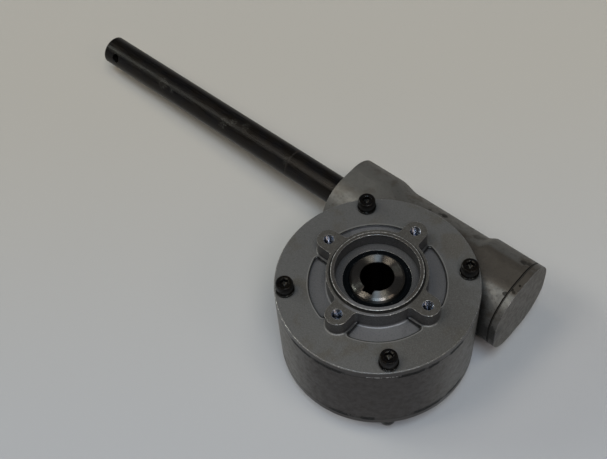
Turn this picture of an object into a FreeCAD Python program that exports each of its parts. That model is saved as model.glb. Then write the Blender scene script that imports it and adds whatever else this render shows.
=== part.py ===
import FreeCAD, Part
import math
import os
import Sketcher
from FreeCAD import Placement, Rotation, Vector

# Worm gearbox with a hollow output shaft.
# The origin lies on the output bore's axis, halfway between the two covers. +Z runs along the output
# bore, the input shaft reaches out toward -X and the worm barrel lies on the +Y side.

os.makedirs("parts", exist_ok=True)
document = FreeCAD.newDocument("gearbox")

# Driving dimensions, in millimetres unless the name says otherwise

SIZES = {
    # Gear set
    "gear_module": 2.5,
    "wheel_teeth": 40,
    "worm_pitch_diameter": 35.5,
    "addendum_share": 0.95,
    "dedendum_share": 1.2,
    "thread_share": 0.42,
    "tooth_gap_share": 0.59,
    "thread_flank_degrees": 20,
    "tooth_gap_flank_degrees": 24,
    "root_relief": 0.5,
    "thread_length": 50,
    "wheel_face_width": 20,
    "wheel_land_share": 1.6,
    "rim_thickness": 12,
    "wheel_web_thickness": 10,
    "wheel_hub_wall": 7,
    "wheel_band_wall": 4,
    "wheel_key_width": 12,
    "wheel_key_height": 8,
    "wheel_key_length": 28,
    "tooth_gap_sweep_degrees": 50,
    "tooth_gap_overrun": 1.5,
    # Output shaft
    "output_bore_diameter": 25,
    "output_shaft_diameter": 40,
    "output_shaft_length": 91,
    "output_shaft_chamfer": 1.5,
    "wheel_seat_diameter": 44,
    "keyway_width": 8,
    "keyway_depth": 3.3,
    "keyway_direction_degrees": -80,
    # Output bearings and seals
    "output_bearing_diameter": 68,
    "output_bearing_width": 15,
    "output_seal_diameter": 50,
    "output_seal_width": 8,
    "output_bearing_balls": 12,
    # Input shaft
    "input_shaft_diameter": 25,
    "input_shaft_reach": 363,
    "input_shaft_chamfer": 1,
    "cross_hole_diameter": 8,
    "cross_hole_setback": 15,
    "cross_hole_tilt_degrees": -29,
    "score_distance": 58.5,
    "score_width": 0.8,
    "score_depth": 0.3,
    "shaft_stub": 2,
    # Input bearings, seal and retaining ring
    "input_bearing_diameter": 52,
    "input_bearing_width": 15,
    "input_bearing_balls": 9,
    "input_seal_width": 7,
    "input_seal_gap": 1.5,
    "retaining_ring_thickness": 1.5,
    "retaining_ring_wall": 4,
    "retaining_groove_depth": 1.5,
    "retaining_ring_opening": 12,
    # Rolling bearings
    "bearing_ring_wall_share": 0.28,
    "raceway_depth": 0.9,
    "ball_gap": 0.1,
    # Oil seals
    "seal_rim_width": 1.6,
    "seal_rim_height": 0.6,
    "seal_web": 2.4,
    "seal_shell_wall": 1.2,
    "seal_lip_depth": 1.2,
    "seal_dust_lip_height": 0.8,
    "seal_dust_lip_width": 1,
    "seal_neck_depth": 0.8,
    "seal_main_lip_height": 2.2,
    "seal_main_lip_wall": 2.2,
    # Housing
    "housing_height": 64.5,
    "drum_wall": 6.5,
    "screw_boss_radius": 7.5,
    "screw_boss_gap": 5.5,
    "screw_edge": 8,
    "screw_boss_relief": 0.5,
    "tapped_hole_depth": 14,
    "bearing_spread": 116,
    "chamber_shoulder": 2,
    "boss_width": 67,
    "boss_corner_radius": 27,
    "input_boss_length": 32,
    "input_blend_length": 17,
    "cap_boss_length": 34.75,
    "cap_blend_length": 8,
    "cap_register": 3.75,
    "cap_thickness": 5.25,
    # Covers
    "gasket_thickness": 0.5,
    "cover_thickness": 6.25,
    "cover_edge_chamfer": 0.5,
    "register_depth": 3,
    "register_relief": 1,
    "bearing_boss_wall": 7,
    "ledge_rise": 3,
    "hub_rise": 12.5,
    "hub_wall": 3.3,
    "spigot_height": 2,
    "spigot_diameter": 67,
    "spigot_wall": 2.75,
    "ear_width": 17.5,
    "ear_circle": 90,
    "ear_thread_diameter": 8,
    "ear_thread_depth": 16,
    "ear_root_fillet": 3.5,
    "pocket_depth": 2.5,
    "pocket_radius": 50,
    "pocket_margin": 1.75,
    "hub_foot_share": 0.85,
    "pocket_corner_radius": 3,
    # Cover screws and lock washers
    "screw_diameter": 8,
    "screw_length": 20,
    "screw_head_diameter": 13,
    "screw_head_height": 8,
    "screw_head_rounding": 0.8,
    "screw_hole_diameter": 9,
    "socket_across_flats": 6,
    "socket_depth": 4,
    "washer_diameter": 14.2,
    "washer_thickness": 2,
    "washer_slit": 1.2,
    # Clearances
    "fit_gap": 0.02,
    "running_gap": 0.05,
    "thread_gap": 0.05,
    "key_gap": 0.1,
}


class Size:
    """A length together with the spreadsheet formula that it follows."""

    def __init__(self, value, formula=None):
        self.value = float(value)
        self.driven = formula is not None
        self.formula = formula if self.driven else repr(float(value))

    def combined(self, sign, other, value):
        if self.driven or other.driven:
            return Size(value, f"({self.formula} {sign} {other.formula})")
        return Size(value)

    def __add__(self, other):
        other = size(other)
        return self.combined("+", other, self.value + other.value)

    def __sub__(self, other):
        other = size(other)
        return self.combined("-", other, self.value - other.value)

    def __mul__(self, other):
        other = size(other)
        return self.combined("*", other, self.value * other.value)

    def __truediv__(self, other):
        other = size(other)
        return self.combined("/", other, self.value / other.value)

    def __neg__(self):
        return self * -1

    def call(self, function, value):
        return Size(value, f"{function}({self.formula})")


def size(thing):
    """Plain numbers may stand beside sizes in a formula."""
    return thing if isinstance(thing, Size) else Size(thing)


def root(square):
    return square.call("sqrt", math.sqrt(square.value))


def tangent(degrees):
    return degrees.call("tan", math.tan(math.radians(degrees.value)))


class Dimensions:
    """The driving dimensions, kept as named cells of the document's spreadsheet."""

    def __init__(self, values):
        cells = document.addObject("Spreadsheet::Sheet", "dims")
        for row, (name, value) in enumerate(values.items(), start=1):
            cells.set(f"A{row}", name)
            cells.set(f"B{row}", str(value))
            cells.setAlias(f"B{row}", name)
            setattr(self, name, Size(value, f"dims.{name}"))
        document.recompute()


d = Dimensions(SIZES)
ZERO = Size(0)
CENTRE = (ZERO, ZERO)
DIAGONAL = math.sqrt(0.5)
FULL_TURN = 360
# How far past a radius an edge may lie and still count as being on it, in millimetres
EDGE_SLACK = 1


def bind(thing, path, length):
    """Tie one property of an object to the sheet."""
    if length.driven:
        thing.setExpression(path, length.formula)


def close(first, second):
    return abs(first - second) < 1e-3


# Sketch shapes: each call returns a function that draws the closed shape in a sketch

def point_at(point):
    return Vector(point[0].value, point[1].value, 0)


def hold(sketch, kind, element, position, length):
    """Dimension one point of a sketch element from the sketch's own origin."""
    number = sketch.addConstraint(Sketcher.Constraint(kind, -1, 1, element, position, length.value))
    bind(sketch, f"Constraints[{number}]", length)


def hold_point(sketch, element, position, point):
    hold(sketch, "DistanceX", element, position, point[0])
    hold(sketch, "DistanceY", element, position, point[1])


def disc(radius, centre=CENTRE):
    """A full circle."""
    def draw(sketch):
        circle = Part.Circle(point_at(centre), Vector(0, 0, 1), radius.value)
        element = sketch.addGeometry(circle, False)
        hold_point(sketch, element, 3, centre)
        number = sketch.addConstraint(Sketcher.Constraint("Radius", element, radius.value))
        bind(sketch, f"Constraints[{number}]", radius)
    return draw


def outline(corners, arcs=None):
    """A closed line through the corners; arcs gives, by edge number, the centre of a round edge."""
    arcs = arcs or {}

    def draw(sketch):
        count = len(corners)
        elements = []
        for number, start in enumerate(corners):
            end = corners[(number + 1) % count]
            if number in arcs:
                centre = point_at(arcs[number])
                first = point_at(start) - centre
                last = point_at(end) - centre
                turn = first.x * last.y - first.y * last.x
                angles = [math.atan2(first.y, first.x), math.atan2(last.y, last.x)]
                if turn < 0:
                    angles.reverse()
                circle = Part.Circle(centre, Vector(0, 0, 1), first.Length)
                shape = Part.ArcOfCircle(circle, angles[0], angles[1])
                begins, ends = (1, 2) if turn >= 0 else (2, 1)
            else:
                shape = Part.LineSegment(point_at(start), point_at(end))
                begins, ends = 1, 2
            elements.append((sketch.addGeometry(shape, False), begins, ends))
        for number, (element, begins, ends) in enumerate(elements):
            following, its_start, its_end = elements[(number + 1) % count]
            sketch.addConstraint(Sketcher.Constraint("Coincident", element, ends, following, its_start))
        for number, (element, begins, ends) in enumerate(elements):
            if number not in arcs:
                hold_point(sketch, element, begins, corners[number])
                if (number + 1) % count in arcs:
                    hold_point(sketch, element, ends, corners[(number + 1) % count])
        for number, centre in arcs.items():
            start = corners[number]
            end = corners[(number + 1) % count]
            if close(start[1].value, end[1].value):
                hold(sketch, "DistanceY", elements[number][0], 3, centre[1])
            else:
                hold(sketch, "DistanceX", elements[number][0], 3, centre[0])
    return draw


def rectangle(low_x, high_x, low_y, high_y):
    return outline([(low_x, low_y), (high_x, low_y), (high_x, high_y), (low_x, high_y)])


def rounded_rectangle(half_width, half_height, corner, centre=CENTRE):
    """A rectangle with round corners, drawn about its centre."""
    corners = []
    arcs = {}
    for sign_x, sign_y, along_first in ((1, 1, False), (-1, 1, True), (-1, -1, False), (1, -1, True)):
        centre_x = centre[0] + (half_width - corner) * sign_x
        centre_y = centre[1] + (half_height - corner) * sign_y
        on_side = (centre_x + corner * sign_x, centre_y)
        on_top = (centre_x, centre_y + corner * sign_y)
        arcs[len(corners)] = (centre_x, centre_y)
        corners += [on_top, on_side] if along_first else [on_side, on_top]
    return outline(corners, arcs)


def hexagon(across_flats, centre):
    corner_radius = across_flats / math.sqrt(3)
    corners = []
    for number in range(6):
        angle = math.radians(60 * number)
        x = centre[0] + corner_radius * math.cos(angle)
        y = centre[1] + corner_radius * math.sin(angle)
        corners.append((x, y))
    return outline(corners)


# Bodies and their features

parts = []


def new_body(label):
    body = document.addObject("PartDesign::Body", label)
    body.Label = label
    parts.append(body)
    return body


def origin_feature(body, role):
    return next(feature for feature in body.Origin.OriginFeatures if feature.Role == role)


def new_sketch(body, name, plane, height=ZERO, *shapes):
    """A sketch on one of the body's own planes, moved along the plane's normal."""
    sketch = body.newObject("Sketcher::SketchObject", name + "_sketch")
    sketch.AttachmentSupport = (origin_feature(body, plane), [""])
    sketch.MapMode = "FlatFace"
    sketch.AttachmentOffset = Placement(Vector(0, 0, height.value), Rotation())
    bind(sketch, "AttachmentOffset.Base.z", height)
    for draw in shapes:
        draw(sketch)
    return sketch


def pad(body, name, plane, low, high, *shapes):
    """Material between two levels along the plane's normal."""
    feature = body.newObject("PartDesign::Pad", name)
    feature.Profile = new_sketch(body, name, plane, low, *shapes)
    feature.Length = (high - low).value
    bind(feature, "Length", high - low)
    document.recompute()
    return feature


def pocket(body, name, plane, low, high, *shapes):
    """A cut between two levels along the plane's normal."""
    feature = body.newObject("PartDesign::Pocket", name)
    feature.Profile = new_sketch(body, name, plane, low, *shapes)
    feature.Reversed = True
    feature.Length = (high - low).value
    bind(feature, "Length", high - low)
    document.recompute()
    return feature


def turned(body, name, axis, corners, kind="PartDesign::Revolution", arcs=None):
    """A full turn of an outline; the corners are given as radius and place along the axis."""
    upright = axis == "Z"
    plane = "XZ_Plane" if upright else "XY_Plane"
    if upright:
        shape = outline(corners, arcs)
    else:
        swapped = {number: (along, radius) for number, (radius, along) in (arcs or {}).items()}
        shape = outline([(along, radius) for radius, along in corners], swapped)
    feature = body.newObject(kind, name)
    sketch = new_sketch(body, name, plane, ZERO, shape)
    feature.Profile = sketch
    feature.ReferenceAxis = (sketch, ["V_Axis" if upright else "H_Axis"])
    feature.Angle = FULL_TURN
    document.recompute()
    return feature


def grooved(body, name, axis, corners, arcs=None):
    return turned(body, name, axis, corners, "PartDesign::Groove", arcs)


def sphere(body, name, radius, axis, from_axis, along):
    """A ball, placed by its distance from the axis and its place along it."""
    feature = body.newObject("PartDesign::AdditiveSphere", name)
    feature.AttachmentSupport = (origin_feature(body, "XY_Plane"), [""])
    feature.MapMode = "FlatFace"
    feature.Radius = radius.value
    bind(feature, "Radius", radius)
    x, y, z = (from_axis, ZERO, along) if axis == "Z" else (along, from_axis, ZERO)
    feature.AttachmentOffset = Placement(Vector(x.value, y.value, z.value), Rotation())
    for letter, place in (("x", x), ("y", y), ("z", z)):
        bind(feature, "AttachmentOffset.Base." + letter, place)
    document.recompute()
    return feature


def around(body, name, originals, count, axis="Z"):
    """Repeat features evenly about one of the body's axes."""
    pattern = body.newObject("PartDesign::PolarPattern", name)
    pattern.Originals = originals
    pattern.Axis = (origin_feature(body, axis + "_Axis"), [""])
    pattern.Angle = FULL_TURN
    pattern.Occurrences = int(count)
    body.Tip = pattern
    document.recompute()
    return pattern


def edges_of(feature, test):
    """Names of the feature's edges for which the test holds."""
    return [f"Edge{number}" for number, edge in enumerate(feature.Shape.Edges, start=1) if test(edge)]


def fillet(body, name, base, radius, test):
    """Round the chosen edges of a feature."""
    feature = body.newObject("PartDesign::Fillet", name)
    feature.Base = (base, edges_of(base, test))
    feature.Radius = radius.value
    bind(feature, "Radius", radius)
    document.recompute()
    return feature


def level(edge, height):
    """True for an edge that lies at one height."""
    box = edge.BoundBox
    return close(box.ZMin, height.value) and close(box.ZMax, height.value)


def upright_edge(edge, low, high):
    """True for an edge that runs straight up between two heights."""
    box = edge.BoundBox
    narrow = close(box.XMin, box.XMax) and close(box.YMin, box.YMax)
    return narrow and close(box.ZMin, low.value) and close(box.ZMax, high.value)


def outside(edge, radius):
    """True for an edge that lies well outside a radius about the Z axis."""
    middle = edge.CenterOfMass
    return math.hypot(middle.x, middle.y) > radius.value + EDGE_SLACK


def wall_foot(feature, edge, floor, top):
    """True for an edge where a wall that rises to the top level stands on a floor."""
    walls = feature.Shape.ancestorsOfType(edge, Part.Face)
    return level(edge, floor) and any(close(wall.BoundBox.ZMax, top.value) for wall in walls)


def lay_on_worm_axis(body):
    """Parts modelled about their own X axis move to the worm's axis."""
    body.Placement = Placement(Vector(0, centre_distance.value, 0), Rotation())
    bind(body, "Placement.Base.y", centre_distance)


def turn_over(body):
    """The underside repeats the top side, turned half round the X axis."""
    body.Placement = Placement(Vector(), Rotation(Vector(1, 0, 0), 180))


# Shared levels and radii

axial_pitch = d.gear_module * math.pi
wheel_pitch_radius = d.gear_module * d.wheel_teeth / 2
worm_pitch_radius = d.worm_pitch_diameter / 2
centre_distance = wheel_pitch_radius + worm_pitch_radius
worm_tip_radius = worm_pitch_radius + d.gear_module * d.addendum_share
worm_root_radius = worm_pitch_radius - d.gear_module * d.dedendum_share
throat_radius = worm_pitch_radius - d.gear_module * d.addendum_share
wheel_tip_radius = wheel_pitch_radius + d.gear_module * d.wheel_land_share
half_face = d.wheel_face_width / 2
rim_bore_radius = wheel_tip_radius - d.rim_thickness

half_height = d.housing_height / 2
cover_inner_face = half_height + d.gasket_thickness
cover_face = cover_inner_face + d.cover_thickness
pocket_floor = cover_face - d.pocket_depth
ledge = cover_face + d.ledge_rise
hub_face = cover_face + d.hub_rise
spigot_face = hub_face + d.spigot_height
output_seal_floor = ledge - d.output_seal_width
output_bearing_floor = output_seal_floor - d.output_bearing_width
register_end = cover_inner_face - d.register_depth

screw_circle = wheel_tip_radius + d.screw_boss_gap + d.screw_boss_radius
drum_radius = screw_circle + d.screw_edge
cavity_radius = drum_radius - d.drum_wall
register_radius = screw_circle - d.screw_boss_radius + d.screw_boss_relief
screw_place = (screw_circle * DIAGONAL, screw_circle * DIAGONAL)
ear_place = (d.ear_circle / 2, ZERO)
spigot_radius = d.spigot_diameter / 2
spigot_bore_radius = spigot_radius - d.spigot_wall
hub_radius = spigot_radius + d.hub_wall

bearing_shoulder = d.bearing_spread / 2
bearing_end = bearing_shoulder + d.input_bearing_width
cap_boss_end = bearing_end + d.cap_register
cap_seat = cap_boss_end + d.gasket_thickness
input_seal_floor = bearing_end + d.retaining_ring_thickness + d.input_seal_gap
input_boss_end = input_seal_floor + d.input_seal_width
input_bore_radius = d.input_bearing_diameter / 2
input_shaft_radius = d.input_shaft_diameter / 2
boss_half_width = d.boss_width / 2
output_shaft_radius = d.output_shaft_diameter / 2
output_bore_radius = d.output_bore_diameter / 2
wheel_seat_radius = d.wheel_seat_diameter / 2


# Cast housing: a drum for the wheel with the worm barrel across its side

# Where the sections of a blend stand, as shares of its length
BLEND_PLACES = (0, 0.1, 0.5, 0.9, 1)
# The last section keeps a hair of its flat sides, so that every section has as many edges
BLEND_ROUNDNESS = 0.99


def blended_boss(body, name, outer_end, inner_end, blend_end):
    """A rounded square boss whose inner end runs out softly into the round neck."""
    low, high = sorted((outer_end, inner_end), key=lambda place: place.value)
    square = rounded_rectangle(boss_half_width, half_height, d.boss_corner_radius, worm_centre)
    pad(body, name, "YZ_Plane", low, high, square)
    sections = []
    for number, travel in enumerate(BLEND_PLACES):
        place = inner_end + (blend_end - inner_end) * travel
        change = travel * travel * (3 - 2 * travel)
        width = boss_half_width + (half_height - boss_half_width) * change
        corner = d.boss_corner_radius + (half_height - d.boss_corner_radius) * (change * BLEND_ROUNDNESS)
        shape = rounded_rectangle(width, half_height, corner, worm_centre)
        sections.append(new_sketch(body, f"{name}_blend_{number}", "YZ_Plane", place, shape))
    loft = body.newObject("PartDesign::AdditiveLoft", name + "_blend")
    loft.Profile = sections[0]
    loft.Sections = sections[1:]
    loft.Ruled = False
    document.recompute()


housing = new_body("housing")
worm_centre = (centre_distance, ZERO)
pad(housing, "drum", "XY_Plane", -half_height, half_height, disc(drum_radius))
input_flat_end = -(input_boss_end - d.input_boss_length)
cap_flat_end = cap_boss_end - d.cap_boss_length
pad(housing, "neck", "YZ_Plane", input_flat_end, cap_flat_end, disc(half_height, worm_centre))
blended_boss(housing, "input_boss", -input_boss_end, input_flat_end, input_flat_end + d.input_blend_length)
blended_boss(housing, "cap_boss", cap_boss_end, cap_flat_end, cap_flat_end - d.cap_blend_length)
pocket(housing, "cavity", "XY_Plane", -half_height, half_height, disc(cavity_radius))
screw_boss = pad(housing, "screw_boss", "XY_Plane", -half_height, half_height,
                 disc(d.screw_boss_radius, screw_place))
around(housing, "screw_bosses", [screw_boss], 4)
for side, low, high in (("top", half_height - d.register_depth - d.register_relief, half_height),
                        ("bottom", -half_height, -half_height + d.register_depth + d.register_relief)):
    pocket(housing, side + "_register", "XY_Plane", low, high, disc(register_radius))
pocket(housing, "worm_chamber", "YZ_Plane", -bearing_shoulder, bearing_shoulder,
       disc(input_bore_radius - d.chamber_shoulder, worm_centre))
pocket(housing, "input_bearing_bore", "YZ_Plane", -input_boss_end, -bearing_shoulder,
       disc(input_bore_radius, worm_centre))
pocket(housing, "cap_bearing_bore", "YZ_Plane", bearing_shoulder, cap_boss_end,
       disc(input_bore_radius, worm_centre))
ring_seat = -bearing_end - d.retaining_ring_thickness
pocket(housing, "retaining_ring_groove", "YZ_Plane", ring_seat, -bearing_end,
       disc(input_bore_radius + d.retaining_groove_depth, worm_centre))
tapped_holes = []
for side, low, high in (("top", half_height - d.tapped_hole_depth, half_height),
                        ("bottom", -half_height, -half_height + d.tapped_hole_depth)):
    tapped_holes.append(pocket(housing, side + "_tapped_hole", "XY_Plane", low, high,
                               disc(d.screw_diameter / 2, screw_place)))
around(housing, "tapped_holes", tapped_holes, 4)


# Covers: one casting used on both sides, with the bearing seat inside and a mounting hub outside

def build_cover(label):
    cover = new_body(label)
    bearing_radius = d.output_bearing_diameter / 2
    bearing_boss_radius = bearing_radius + d.bearing_boss_wall
    register = register_radius - d.running_gap
    turned(cover, "disc_and_hub", "Z", [
        (drum_radius, cover_inner_face),
        (drum_radius, cover_face - d.cover_edge_chamfer),
        (drum_radius - d.cover_edge_chamfer, cover_face),
        (hub_radius, cover_face),
        (hub_radius, hub_face),
        (spigot_radius, hub_face),
        (spigot_radius, spigot_face),
        (spigot_bore_radius, spigot_face),
        (spigot_bore_radius, ledge),
        (d.output_seal_diameter / 2, ledge),
        (d.output_seal_diameter / 2, output_seal_floor),
        (bearing_radius, output_seal_floor),
        (bearing_radius, output_bearing_floor),
        (bearing_boss_radius, output_bearing_floor),
        (bearing_boss_radius, register_end),
        (register, register_end),
        (register, cover_inner_face),
    ])
    margin = d.ear_width / 2 + d.pocket_margin
    outer_far = root(d.pocket_radius * d.pocket_radius - margin * margin)
    inner_far = root(hub_radius * hub_radius - margin * margin)
    recess = pocket(cover, "recess", "XY_Plane", pocket_floor, cover_face, outline(
        [(outer_far, margin), (margin, outer_far), (margin, inner_far), (inner_far, margin)],
        {0: CENTRE, 2: CENTRE}))
    recesses = around(cover, "recesses", [recess], 4)
    fillet(cover, "recess_corners", recesses, d.pocket_corner_radius,
           lambda edge: upright_edge(edge, pocket_floor, cover_face) and outside(edge, hub_radius))
    half_ear = d.ear_width / 2
    ear_root = spigot_bore_radius + d.spigot_wall / 2
    ear = pad(cover, "ear", "XY_Plane", pocket_floor, hub_face, outline(
        [(ear_root, -half_ear), (ear_place[0], -half_ear), (ear_place[0], half_ear), (ear_root, half_ear)],
        {1: ear_place}))
    ears = around(cover, "ears", [ear], 4)
    roots = fillet(cover, "ear_roots", ears, d.ear_root_fillet,
                   lambda edge: upright_edge(edge, cover_face, hub_face) and not outside(edge, hub_radius))
    fillet(cover, "hub_foot", roots, d.pocket_margin * d.hub_foot_share,
           lambda edge: wall_foot(roots, edge, cover_face, hub_face)
           or wall_foot(roots, edge, pocket_floor, hub_face))
    ear_hole = pocket(cover, "ear_hole", "XY_Plane", hub_face - d.ear_thread_depth, hub_face,
                      disc(d.ear_thread_diameter / 2, ear_place))
    screw_hole = pocket(cover, "screw_hole", "XY_Plane", register_end, cover_face,
                        disc(d.screw_hole_diameter / 2, screw_place))
    around(cover, "ear_and_screw_holes", [ear_hole, screw_hole], 4)
    return cover


def build_cover_gasket(label):
    gasket = new_body(label)
    pad(gasket, "ring", "XY_Plane", half_height, cover_inner_face,
        disc(drum_radius), disc(register_radius))
    hole = pocket(gasket, "screw_hole", "XY_Plane", half_height, cover_inner_face,
                  disc(d.screw_hole_diameter / 2, screw_place))
    around(gasket, "screw_holes", [hole], 4)
    return gasket


def build_cover_screws(label):
    """Four socket head screws, seated on their lock washers."""
    screws = new_body(label)
    seat = cover_face + d.washer_thickness
    head_top = seat + d.screw_head_height
    head = pad(screws, "head", "XY_Plane", seat, head_top, disc(d.screw_head_diameter / 2, screw_place))
    shank = pad(screws, "shank", "XY_Plane", seat - d.screw_length, seat,
                disc(d.screw_diameter / 2 - d.thread_gap, screw_place))
    fillet(screws, "head_rounding", shank, d.screw_head_rounding, lambda edge: level(edge, head_top))
    socket = pocket(screws, "socket", "XY_Plane", head_top - d.socket_depth, head_top,
                    hexagon(d.socket_across_flats, screw_place))
    around(screws, "screws", [head, shank, socket], 4)
    return screws


def build_lock_washers(label):
    """Four split spring washers."""
    washers = new_body(label)
    top = cover_face + d.washer_thickness
    inner_radius = d.screw_diameter / 2 + d.key_gap
    washer = pad(washers, "washer", "XY_Plane", cover_face, top,
                 disc(d.washer_diameter / 2, screw_place), disc(inner_radius, screw_place))
    slit_start = screw_place[0] + inner_radius / 2
    slit = pocket(washers, "slit", "XY_Plane", cover_face, top,
                  rectangle(slit_start, slit_start + d.washer_diameter,
                            screw_place[1] - d.washer_slit / 2, screw_place[1] + d.washer_slit / 2))
    around(washers, "washers", [washer, slit], 4)
    return washers


def build_seal(label, axis, bore_radius, shaft_radius, inner_face, outer_face):
    """Oil seal: a stiff shell, a dust lip at its outer face and the main lip reaching inward."""
    seal = new_body(label)
    outer = bore_radius - d.fit_gap
    lip = shaft_radius + d.running_gap
    inward = 1 if inner_face.value > outer_face.value else -1
    step = outer_face + d.seal_rim_height * inward
    dust_lip = step + d.seal_dust_lip_height * inward
    neck = dust_lip + d.seal_dust_lip_width * inward
    web = step + d.seal_web * inward
    lip_tip = inner_face - d.seal_rim_height * inward
    turned(seal, "seal", axis, [
        (outer, inner_face),
        (outer, outer_face),
        (outer - d.seal_rim_width, outer_face),
        (outer - d.seal_rim_width - d.seal_rim_height / 2, step),
        (lip + d.seal_lip_depth, step),
        (lip, dust_lip),
        (lip, neck),
        (lip + d.seal_neck_depth, neck + d.seal_neck_depth * inward),
        (lip, inner_face - d.seal_main_lip_height * inward),
        (lip + d.seal_lip_depth, lip_tip),
        (lip + d.seal_main_lip_wall, lip_tip),
        (lip + d.seal_main_lip_wall, web),
        (outer - d.seal_shell_wall, web),
        (outer - d.seal_shell_wall, inner_face),
    ])
    return seal


def build_output_seal(label):
    return build_seal(label, "Z", d.output_seal_diameter / 2, output_shaft_radius, output_seal_floor, ledge)


for name, build in (("cover", build_cover), ("gasket", build_cover_gasket),
                    ("cover_screws", build_cover_screws), ("lock_washers", build_lock_washers),
                    ("oil_seal", build_output_seal)):
    build("top_" + name)
    turn_over(build("bottom_" + name))


# End cap over the worm's blind end, pressed against its gasket

end_cap = new_body("end_cap")
boss_outline = rounded_rectangle(boss_half_width, half_height, d.boss_corner_radius)
pad(end_cap, "plate", "YZ_Plane", cap_seat, cap_seat + d.cap_thickness, boss_outline)
pad(end_cap, "spigot", "YZ_Plane", bearing_end, cap_seat, disc(input_bore_radius - d.fit_gap))
pocket(end_cap, "hollow", "YZ_Plane", bearing_end, cap_seat, disc(input_bore_radius - d.cap_register))
lay_on_worm_axis(end_cap)

end_cap_gasket = new_body("end_cap_gasket")
pad(end_cap_gasket, "sheet", "YZ_Plane", cap_boss_end, cap_seat, boss_outline, disc(input_bore_radius))
lay_on_worm_axis(end_cap_gasket)


# Input seal and retaining ring

input_seal = build_seal("input_oil_seal", "X", input_bore_radius, input_shaft_radius,
                        -input_seal_floor, -input_boss_end)
lay_on_worm_axis(input_seal)

retaining_ring = new_body("input_retaining_ring")
ring_outer = input_bore_radius + d.retaining_groove_depth - d.key_gap
pad(retaining_ring, "ring", "YZ_Plane", ring_seat, -bearing_end,
    disc(ring_outer), disc(ring_outer - d.retaining_ring_wall))
half_opening = d.retaining_ring_opening / 2
pocket(retaining_ring, "opening", "YZ_Plane", ring_seat, -bearing_end,
       rectangle(-half_opening, half_opening, -ring_outer - d.key_gap, ZERO))
lay_on_worm_axis(retaining_ring)


# Ball bearings

def build_bearing(label, axis, inner_radius, outer_radius, low, high, ball_count):
    """Two grooved rings and the balls that run between them."""
    depth = outer_radius - inner_radius
    wall = depth * d.bearing_ring_wall_share
    middle = (low + high) / 2
    pitch_radius = (inner_radius + outer_radius) / 2
    groove_radius = depth / 2 - wall + d.raceway_depth
    groove_offset = groove_radius - d.raceway_depth
    shift = root(groove_radius * groove_radius - groove_offset * groove_offset)
    pieces = []
    for side, first, last in (("outer_ring", outer_radius - wall, outer_radius - d.fit_gap),
                              ("inner_ring", inner_radius + d.fit_gap, inner_radius + wall)):
        ring = new_body(label + "_" + side)
        turned(ring, "ring", axis, [(first, low), (last, low), (last, high), (first, high)])
        edge_radius = first if side == "outer_ring" else last
        grooved(ring, "raceway", axis, [(edge_radius, middle - shift), (edge_radius, middle + shift)],
                {0: (pitch_radius, middle)})
        pieces.append(ring)
    balls = new_body(label + "_balls")
    ball = sphere(balls, "ball", groove_radius - d.ball_gap, axis, pitch_radius, middle)
    around(balls, "ball_set", [ball], ball_count.value, axis)
    return pieces + [balls]


output_bearing_radius = d.output_bearing_diameter / 2
build_bearing("top_bearing", "Z", output_shaft_radius, output_bearing_radius,
              output_bearing_floor, output_seal_floor, d.output_bearing_balls)
for piece in build_bearing("bottom_bearing", "Z", output_shaft_radius, output_bearing_radius,
                           output_bearing_floor, output_seal_floor, d.output_bearing_balls):
    turn_over(piece)
for label, low, high in (("cap_side_bearing", bearing_shoulder, bearing_end),
                         ("input_side_bearing", -bearing_end, -bearing_shoulder)):
    for piece in build_bearing(label, "X", input_shaft_radius, input_bore_radius,
                               low, high, d.input_bearing_balls):
        lay_on_worm_axis(piece)


# Worm shaft: the input shaft and the single start worm are one piece

worm_shaft = new_body("worm_shaft")
thread_end = d.thread_length / 2
shaft_tip = -d.input_shaft_reach
stub_end = bearing_end + d.shaft_stub
score = -input_boss_end - d.score_distance
score_radius = input_shaft_radius - d.score_depth
turned(worm_shaft, "shaft", "X", [
    (ZERO, shaft_tip),
    (input_shaft_radius - d.input_shaft_chamfer, shaft_tip),
    (input_shaft_radius, shaft_tip + d.input_shaft_chamfer),
    (input_shaft_radius, score - d.score_width / 2),
    (score_radius, score - d.score_width / 2),
    (score_radius, score + d.score_width / 2),
    (input_shaft_radius, score + d.score_width / 2),
    (input_shaft_radius, -bearing_shoulder),
    (worm_root_radius, -bearing_shoulder),
    (worm_root_radius, bearing_shoulder),
    (input_shaft_radius, bearing_shoulder),
    (input_shaft_radius, stub_end - d.input_shaft_chamfer),
    (input_shaft_radius - d.input_shaft_chamfer, stub_end),
    (ZERO, stub_end),
])
whole_turns = math.ceil(d.thread_length.value / axial_pitch.value / 2)
half_thread = axial_pitch * d.thread_share / 2
thread_slope = tangent(d.thread_flank_degrees)
thread_tip_half = half_thread - (worm_tip_radius - worm_pitch_radius) * thread_slope
thread_foot = worm_root_radius - d.root_relief
thread_foot_half = half_thread + (worm_pitch_radius - thread_foot) * thread_slope
thread_start = -axial_pitch * whole_turns
thread = worm_shaft.newObject("PartDesign::AdditiveHelix", "thread")
thread_sketch = new_sketch(worm_shaft, "thread", "XY_Plane", ZERO, outline([
    (thread_start - thread_foot_half, -thread_foot),
    (thread_start - thread_tip_half, -worm_tip_radius),
    (thread_start + thread_tip_half, -worm_tip_radius),
    (thread_start + thread_foot_half, -thread_foot),
]))
thread.Profile = thread_sketch
thread.ReferenceAxis = (thread_sketch, ["H_Axis"])
thread.Mode = "pitch-height-angle"
thread.Pitch = axial_pitch.value
bind(thread, "Pitch", axial_pitch)
thread.Height = (axial_pitch * whole_turns * 2).value
bind(thread, "Height", axial_pitch * whole_turns * 2)
document.recompute()
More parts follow.
